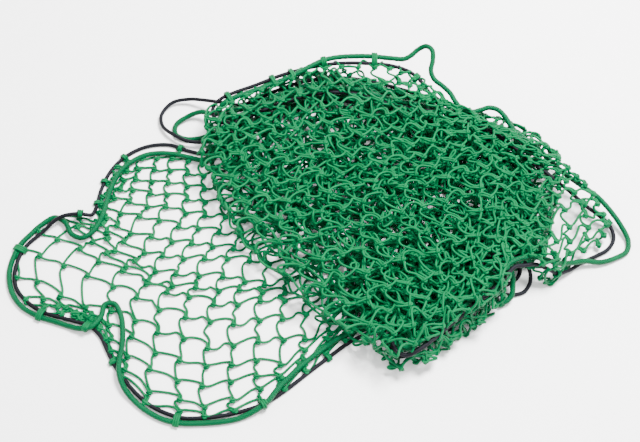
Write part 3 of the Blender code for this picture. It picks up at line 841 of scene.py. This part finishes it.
# %% [markdown]
# ## Crumpled twine
# In the pile the net is crumpled. A cloth simulation would need thousands of stiff
# threads. Instead each knot is moved by smooth noise, which shifts neighbours together,
# and by a little random noise of its own. Both kinds of noise have a fixed seed, so the
# net is the same every time. At the edges the cords hold the knots in place.

# %% Crumple the pile
CRUMPLE, CRUMPLE_SIZE = 6 * MM, 60 * MM
SHIVER, SHIVER_FLAT = 1.3 * MM, 0.3 * MM
UPWARD = 0.4  # the share of each move that may lift or sink a knot
LAYER_APART = 7.3  # steps through the noise from one layer to the next
HELD_MESHES, HELD_LOOSE = 2, 0.3
SHIVER_SEED, CRUMPLE_SEED = 12, 2
random = np.random.default_rng(SHIVER_SEED)
noise.seed_set(CRUMPLE_SEED)

from_edge = np.minimum(v_of, MESHES_ACROSS - v_of)
loose = in_pile * np.clip(from_edge / HELD_MESHES, HELD_LOOSE, 1)
loose *= np.clip((MESHES_ALONG - u_of) / HELD_MESHES, HELD_LOOSE, 1)
for u in range(columns):
    for v in range(rows):
        where = Vector(knots[u, v]) / CRUMPLE_SIZE + Vector((0, 0, layer_of[u, v] * LAYER_APART))
        shift = noise.noise_vector(where) * CRUMPLE * loose[u, v]
        knots[u, v] += (shift.x, shift.y, shift.z * UPWARD)
knots += random.normal(size=knots.shape) * (SHIVER * loose[..., None] + SHIVER_FLAT) * (1, 1, UPWARD)
print("loosest knot:", loose.max())

# %% [markdown]
# ## Bulging folds
# At the right the folds bulge further than the plain sheets of the frame, and the loops
# of their twine hide the cords inside them. The rows next to each fold move out, the
# fold itself most.

# %% Let the right folds bulge
FOLD_OUT, FOLD_REACH, FOLD_BEFORE = 30 * MM, 7, 4


def unit(vectors):
    """Vectors of the same directions, one metre long."""
    return vectors / np.maximum(np.linalg.norm(vectors, axis=-1, keepdims=True), 1e-9)


for fold in (FOLDS[0], FOLDS[2]):
    ahead = unit((knots[fold] - knots[fold - FOLD_BEFORE]) * (1, 1, 0))
    for u in range(fold - FOLD_REACH, fold + FOLD_REACH + 1):
        knots[u] += ahead * FOLD_OUT * (1 - abs(u - fold) / FOLD_REACH)
print("folds moved out by", FOLD_OUT / MM, "mm")

# %% [markdown]
# ## Netting over the cords
# The cords gather the edge of the net, so there is more netting beside them than fits,
# and it swells out over them. The last rows of knots move outward, and in front the edge
# itself droops. At the left and right ends of a layer the fold holds the rows at the back
# in place, and at the loops in front the netting opens and lets the cords out.

# %% Say how far the rows go out and up
FRONT_OUT, FRONT_UP = (31, 42, 46, 42, 35, 27, 18, 9), (-26, 6, 9, 8, 6, 4, 2, 0)
FRONT_SHARES = np.array((0, 0.7, 0.9, 0.95, 1))  # each layer's share of the move
BACK_OUT, BACK_UP = (56, 44, 29, 14), (-2, 3, 2, 1)
BACK_SHARES = np.array((0, 1, 0.45, 0.87, 0.03))
LAST_HEAPED, HEAP_FADE = 93, 2
RIGHT_FADE, LEFT_FADE, LEFT_LEAST = 7, 10, 0.3
LOOPS_AT, LOOPS_WIDE, LOOPS_OPEN = 274 * MM, 27 * MM, 0.95

in_heap = in_pile * np.clip((LAST_HEAPED - u_of) / HEAP_FADE, 0, 1)
from_right = np.minimum(abs(u_of - FOLDS[0]), abs(u_of - FOLDS[2]))
from_left = np.minimum(abs(u_of - FOLDS[1]), abs(u_of - FOLDS[3]))
back_heap = in_heap * np.clip(from_right / RIGHT_FADE, 0, 1)
back_heap *= np.clip(LEFT_LEAST + from_left / LEFT_FADE, 0, 1)
opening = np.exp(-((knots[..., 0] - LOOPS_AT) / LOOPS_WIDE) ** 2)
front_heap = in_heap * (1 - LOOPS_OPEN * opening)
print("knots in the heap:", int((in_heap > 0).sum()))

# %% [markdown]
# The rows could be moved one by one. One function for both edges is shorter: it takes
# the edge's v, and which way is inward from it.

# %% Hang the rows over the cords
def hang(edge, inward, out, up, layer_shares, heap):
    """Moves the last rows of the pile outward over the cords, and lets the edge droop."""
    outward = unit((knots[:, edge] - knots[:, edge + 2 * inward]) * (1, 1, 0))
    for i in range(len(out)):
        row = edge + i * inward
        share = layer_shares[layer_of[:, row]] * heap[:, row] * MM
        knots[:, row] += outward * (out[i] * share)[:, None]
        knots[:, row, 2] += up[i] * share


hang(MESHES_ACROSS, -1, FRONT_OUT, FRONT_UP, FRONT_SHARES, front_heap)
hang(0, 1, BACK_OUT, BACK_UP, BACK_SHARES, back_heap)
print("rows moved:", len(FRONT_OUT), "in front and", len(BACK_OUT), "at the back")

# %% [markdown]
# At the far end the last meshes are pulled towards the cords by their ties. Then every
# knot is lifted by half its own height, because a knot is thicker than its twine.

# %% Finish the far end and lift the knots
FAR_OUT = (6, 2, 0)
FAR_ROWS = slice(4, 12)
KNOT_LIFT = 2.4 * MM

for i, out in enumerate(FAR_OUT):
    pulled = unit(knots[-1, FAR_ROWS] - knots[-3, FAR_ROWS]) * (1, 1, 0)
    knots[MESHES_ALONG - i, FAR_ROWS] += pulled * out * MM
knots[..., 2] = np.maximum(knots[..., 2], TWINE_RADIUS) + KNOT_LIFT
print("highest knot, in mm:", round(knots[..., 2].max() / MM, 1))

# %% [markdown]
# ## How each knot lies
# A netting knot has two legs at its top, which go to the neighbours on the left and
# behind. The other two leave sideways, to the neighbours on the right and in front. So
# the knot's own axis is near the diagonal between the two directions of the net. Every
# other knot was tied from the other side, and lies turned towards the front.

# %% Turn the knots
def turned(vectors, about, angle):
    """Vectors turned about axes square to them by angles."""
    return vectors * np.cos(angle)[..., None] + np.cross(about, vectors) * np.sin(angle)[..., None]


TURNED_KNOTS = radians(40)
TURN_SPREAD, TURN_SPREAD_PILE = 0.08, 0.14
TILT_SPREAD = 0.25

to_right = unit(np.gradient(knots, axis=0))
to_front = unit(np.gradient(knots, axis=1))
down_axis = to_right + to_front
knot_up = unit(np.cross(to_front, to_right))
down_axis = unit(down_axis - knot_up * (down_axis * knot_up).sum(-1, keepdims=True))
every_other = (u_of + v_of + 1) % 2
turn_spread = TURN_SPREAD + TURN_SPREAD_PILE * in_pile
turn = -TURNED_KNOTS * every_other + random.normal(size=in_pile.shape) * turn_spread
down_axis = turned(down_axis, knot_up, turn)
side_axis = np.cross(knot_up, down_axis)
tilt = random.normal(size=in_pile.shape) * TILT_SPREAD * in_pile
knot_up, side_axis = turned(knot_up, down_axis, tilt), turned(side_axis, down_axis, tilt)
print("knots turned towards the front:", int(every_other.sum()))

# %% [markdown]
# ## The knot itself
# It is a sheet bend. One twine makes a bight: it comes in by the left leg, turns, and
# goes out by the back leg. The other comes in from the front, up through that bight,
# passes behind both legs of it, tucks under itself, and leaves to the right. A ball would
# do from far away, but the knots are what shows most at the flat end. Each path is a
# short list of points in the knot's own axes: down it, across it, and up.

# %% Tie the knots
LEG_OUT = 5.0
BIGHT = (
    (-LEG_OUT, -1.5, 0), (-2.4, -1.8, 0.5), (0.6, -2.0, 1.0), (2.8, -1.5, 1.2),
    (3.7, 0, 1.2), (2.8, 1.5, 1.2), (0.6, 2.0, 1.0), (-2.4, 1.8, 0.5), (-LEG_OUT, 1.5, 0),
)
HITCH = (
    (1.4, -LEG_OUT, 0), (1.6, -2.4, -1.4), (1.5, 0, 0.8), (0.7, 2.2, 2.8),
    (-0.2, 3.7, 0.8), (-0.8, 2.5, -1.8), (-1.0, 0, -2.4), (-1.0, -2.5, -1.8),
    (-0.8, -3.7, 0.8), (-0.3, -2.2, 2.8), (0.2, 0, 2.9), (0.6, 2.4, 3.0),
    (1.0, LEG_OUT, 0.6),
)


def in_knot(path):
    """A path in a knot's own axes, in mm, at every knot of the net, in metres."""
    path = np.array(path) * MM
    return (
        knots[:, :, None]
        + path[:, 0, None] * down_axis[:, :, None]
        + path[:, 1, None] * side_axis[:, :, None]
        + path[:, 2, None] * knot_up[:, :, None]
    )


bights = in_knot(BIGHT)
hitches = in_knot(HITCH)
print("points in each knot:", len(BIGHT) + len(HITCH))

# %% [markdown]
# ## Slack
# Each length of twine is a little longer than the gap that it crosses. Where the net is
# crumpled its knots are close together, so its twine has slack, and bends further. The
# lower layers of the pile get more slack than the top one: their twine then fills the
# gaps of the layers above, as in the photograph, where hardly any ground shows through.

# %% Say how long each twine is
ARCH_TAUT, ARCH_LOOSE = 1.03, 1.13
TAUT_COLUMNS, LAST_LOOSE_ROW = 3, 13
SHORTEST = 15 * MM
SLACK_LENGTH, SLACK_BELOW = 33 * MM, 66 * MM
SLACK_IN_FRONT = 0.35
EDGE_FADE = 2
FOLD_FADE, AT_FOLD = 3, 0.2
END_FADE, AT_END = 4, 0.1

below = (layer_of < len(LAYERS) - 1) * np.clip((from_edge - 1) / EDGE_FADE, 0, 1)
below *= np.clip(np.minimum(from_left, from_right) / FOLD_FADE, AT_FOLD, 1)
in_front = SLACK_IN_FRONT * (v_of > LAST_LOOSE_ROW)
slack_length = SLACK_LENGTH + (SLACK_BELOW - SLACK_LENGTH) * np.maximum(below, in_front)
slack = in_pile * np.clip((LAST_HEAPED - u_of) / END_FADE, AT_END, 1)
arched = (u_of > TAUT_COLUMNS) & (v_of < LAST_LOOSE_ROW) | (in_pile > 0)
arch = np.where(arched, ARCH_LOOSE, ARCH_TAUT)
print("longest twine between two knots, in mm:", slack_length.max() / MM)

# %% [markdown]
# ## The twine between the knots
# The twine leaves its knot sideways and enters the next one along that one's axis, so it
# arches to the back or to the left. Its curve is one cubic. How hard it pulls at both
# ends is the only thing that isn't known, and halving finds the pull that gives the right
# length. That is far quicker than a simulation, and every mesh keeps its shape.

# %% Bend a twine to its length
TWINE_STEPS = 10
WEAKEST, STRONGEST = 4 * MM, 150 * MM
HALVINGS = 18
shares = (np.arange(TWINE_STEPS + 1) / TWINE_STEPS)[:, None]


def twine_between(start, end, leave, arrive, where):
    """Points of twines that leave and arrive in given directions, with their slack."""
    gap = np.linalg.norm(end - start, axis=-1)
    length = np.maximum(gap * arch[where], SHORTEST)
    length += np.maximum(slack_length[where] - length, 0) * slack[where]
    start, end, leave, arrive = (a[..., None, :] for a in (start, end, leave, arrive))
    weak, strong = np.full(gap.shape, WEAKEST), np.full(gap.shape, STRONGEST)
    for _ in range(HALVINGS):
        pull = ((weak + strong) / 2)[..., None, None]
        points = hermite(start, end, leave * pull, arrive * pull, shares)
        measured = np.linalg.norm(np.diff(points, axis=-2), axis=-1).sum(-1)
        weak = np.where(measured < length, pull[..., 0, 0], weak)
        strong = np.where(measured < length, strong, pull[..., 0, 0])
    return points


print("each twine has", TWINE_STEPS, "steps")

# %% [markdown]
# No two knots are pulled quite alike, so each direction is turned a little at random,
# and in the lower layers a lot. Twines that run along the net join a hitch to the bight
# on its right, and those that run across it join a bight to the hitch behind it.

# %% Bend all the twines
SPREAD, SPREAD_PILE, SPREAD_BELOW = 0.05, 0.1, 0.5
SAG = 3.5 * MM


def scattered(directions, where):
    """Directions, each turned a little, and more in the pile and in its lower layers."""
    spread = SPREAD + in_pile[where] * (SPREAD_PILE + SPREAD_BELOW * below[where])
    shift = random.normal(size=directions.shape) * spread[..., None] * (1, 1, UPWARD)
    return unit(directions + shift)


along_net = twine_between(
    hitches[:-1, :, -1], bights[1:, :, 0],
    scattered(side_axis[:-1], np.s_[:-1]), scattered(down_axis[1:], np.s_[1:]),
    np.s_[:-1],
)
across_net = twine_between(
    bights[:, 1:, -1], hitches[:, :-1, 0],
    scattered(-down_axis[:, 1:], np.s_[:, 1:]), scattered(side_axis[:, :-1], np.s_[:, :-1]),
    np.s_[:, 1:],
)
sag = SAG * np.sin(pi * shares[:, 0])
along_net[..., 2] -= sag
across_net[..., 2] -= sag
print("twines along and across:", along_net.shape[:2], across_net.shape[:2])

# %% [markdown]
# ## Whole twines
# A net is tied from few long twines, and each runs through it like a staircase: right
# to a knot, back to the next, and right again. So a tube runs on through all its knots
# without a joint, which separate tubes for each side of a mesh would have.

# %% Run each twine through its knots
def staircase(u, v, at_bight):
    """The line of one twine from the knot u, v until it leaves the net."""
    line = []
    while True:
        if at_bight:
            line += list(bights[u, v])
            if v == 0:
                return line[1:-1]
            line += list(across_net[u, v - 1, 1:-1])
            v -= 1
        else:
            line += list(hitches[u, v])
            if u == MESHES_ALONG:
                return line[1:-1]
            line += list(along_net[u, v, 1:-1])
            u += 1
        at_bight = not at_bight


starts = [(0, v, True) for v in range(rows)] + [(u, MESHES_ACROSS, False) for u in range(columns)]
lines = [staircase(*start) for start in starts]
lines = [[Vector((x, y, max(z, TWINE_RADIUS))) for x, y, z in line] for line in lines]
print("staircases:", len(lines), "points:", sum(len(line) for line in lines))

# %% [markdown]
# ## The netting
# The net is cut into bands of neighbouring staircases, which keeps each mesh to a size
# that is easy to handle. Each band is declared as a folded sheet: the whole width of the
# net, as long as its share of the meshes. Its area is that of the twine itself, half the
# surface of the tubes, because most of a net is air.

# %% Make the netting
BANDS = 5
TWINE_CORNERS = 6

for number, band in enumerate(np.array_split(np.arange(len(lines)), BANDS), 1):
    tubes = [tube(lines[i], TWINE_RADIUS, TWINE_CORNERS) for i in band]
    netting = piece_of_tubes(f"netting_{number}", tubes, twine_green)
    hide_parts("net_panel")

# %% [markdown]
# ## The ties
# Every third mesh, the edge of the net is tied to the cords with a short end of twine:
# two and a half turns round them, and a leg back to the knot. Blender can draw a screw
# from an edge, but only round a fixed axis. Here the turns are worked out round the cord
# itself, at any place. Where the rope lies close to the elastic, they go round both.

# %% Find what a tie goes round
BOTH_WITHIN = 12 * MM
TIE_ROOM = 0.5 * MM
elastic_points = np.array(elastic_line)
rope_points = np.array(rope_line)


def nearest(points, spot):
    return int(np.argmin(np.linalg.norm(points - spot, axis=1)))


def tied_cords(knot):
    """The middle, the line and the two half widths of what is tied near a knot."""
    i = nearest(elastic_points, knot)
    on_elastic = elastic_points[i]
    on_rope = rope_points[nearest(rope_points, on_elastic)]
    after, before = elastic_points[(i + 2) % len(elastic_points)], elastic_points[i - 2]
    along = Vector(after - before).normalized()
    apart = Vector(on_rope - on_elastic)
    both = apart.length < BOTH_WITHIN
    centre = Vector(on_elastic) + (apart / 2 if both else Vector())
    wide = (apart - along * apart.dot(along)).normalized()
    high = along.cross(wide)
    half_wide = ELASTIC_RADIUS + TWINE_RADIUS + (apart.length / 2 + TIE_ROOM if both else 0)
    half_high = (ROPE_RADIUS if both else ELASTIC_RADIUS) + TWINE_RADIUS
    return centre, along, wide * half_wide, high * half_high


print("a tie goes round both cords where they are within", BOTH_WITHIN / MM, "mm")

# %% [markdown]
# The turns are an ellipse that creeps along the cords, and the leg is one more cubic. It
# leaves the last turn in its own direction and dips into the knot.

# %% Draw a tie
TIE_TURNS, TIE_STEPS, TIE_PITCH = 2.5, 26, 3.0 * MM
LEG_STEPS, LEG_START, LEG_END = 5, 8 * MM, 0.8
INTO_KNOT = Vector((0, 0, 1.5 * MM))


def tie(u, v):
    """The line of one tie, from its turns round the cords to the knot u, v."""
    knot = knots[u, v]
    centre, along, wide, high = tied_cords(knot)
    line = []
    for step in range(TIE_STEPS):
        share = step / (TIE_STEPS - 1)
        angle = tau * TIE_TURNS * share
        creep = along * TIE_PITCH * TIE_TURNS * (share - 0.5)
        line.append(centre + wide * cos(angle) + high * sin(angle) + creep)
    last = line[-1]
    end = Vector(knot) + INTO_KNOT
    leave = (last - line[-2]).normalized() * LEG_START
    arrive = (end - last) * LEG_END
    line += [hermite(last, end, leave, arrive, t / LEG_STEPS) for t in range(1, LEG_STEPS + 1)]
    return [Vector((p.x, p.y, max(p.z, TWINE_RADIUS))) for p in line]


print("points in a tie:", len(tie(1, 0)))

# %% [markdown]
# The same twine makes the ties, so they are tubes of its size. All of them are one piece.

# %% Tie the edge to the cords
TIE_EVERY = 3
tie_places = [(u, v) for v in (0, MESHES_ACROSS) for u in range(1, MESHES_ALONG, TIE_EVERY)]
tie_places += [(u, v) for u in (0, MESHES_ALONG) for v in range(2, MESHES_ACROSS, TIE_EVERY)]
tie_tubes = [tube(tie(u, v), TWINE_RADIUS, TWINE_CORNERS) for u, v in tie_places]
ties = piece_of_tubes("ties", tie_tubes, twine_green)
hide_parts("net_panel")
print("ties:", len(tie_places))

# %% [markdown]
# ## The floor
# The net lies on a plain pale ground. A curved studio backdrop would do too, but the
# camera looks down, so one large flat face is enough.

# %% Lay the floor
FLOOR_REACH = 6
FLOOR_GREY, FLOOR_ROUGHNESS = 0.92, 0.9

corners = [(x * FLOOR_REACH, y * FLOOR_REACH, 0) for x, y in ((-1, -1), (1, -1), (1, 1), (-1, 1))]
floor_mesh = bpy.data.meshes.new("floor")
floor_mesh.from_pydata(corners, [], [(0, 1, 2, 3)])
floor = bpy.data.objects.new("floor", floor_mesh)
bpy.context.scene.collection.objects.link(floor)
pale = bpy.data.materials.new("pale_floor")
pale.use_nodes = True
pale_shader = pale.node_tree.nodes["Principled BSDF"]
pale_shader.inputs["Base Color"].default_value = (FLOOR_GREY, FLOOR_GREY, FLOOR_GREY, 1)
pale_shader.inputs["Roughness"].default_value = FLOOR_ROUGHNESS
floor_mesh.materials.append(pale)
print("floor:", 2 * FLOOR_REACH, "m wide")

# %% [markdown]
# ## The light
# The light is soft and comes from above, a little from the right and behind, so the knots
# have thin shadows at their lower left. A bright world gives the soft part, and one
# round lamp the shadows. A sun would make their edges too sharp.

# %% Light the scene
WORLD_STRENGTH = 2.1
LAMP_PLACE, LAMP_WIDTH, LAMP_WATTS = (0.8, 0.6, 2.2), 0.9, 300

world = bpy.data.worlds.new("studio")
world.use_nodes = True
world.node_tree.nodes["Background"].inputs["Color"].default_value = (1, 1, 1, 1)
world.node_tree.nodes["Background"].inputs["Strength"].default_value = WORLD_STRENGTH
bpy.context.scene.world = world

lamp_data = bpy.data.lights.new("lamp", "AREA")
lamp_data.shape = "DISK"
lamp_data.size = LAMP_WIDTH
lamp_data.energy = LAMP_WATTS
lamp = bpy.data.objects.new("lamp", lamp_data)
lamp.location = LAMP_PLACE
lamp.rotation_euler = Vector(LAMP_PLACE).to_track_quat("Z", "Y").to_euler()
bpy.context.scene.collection.objects.link(lamp)
print("lamp:", LAMP_WATTS, "W, aimed at the middle of the net")
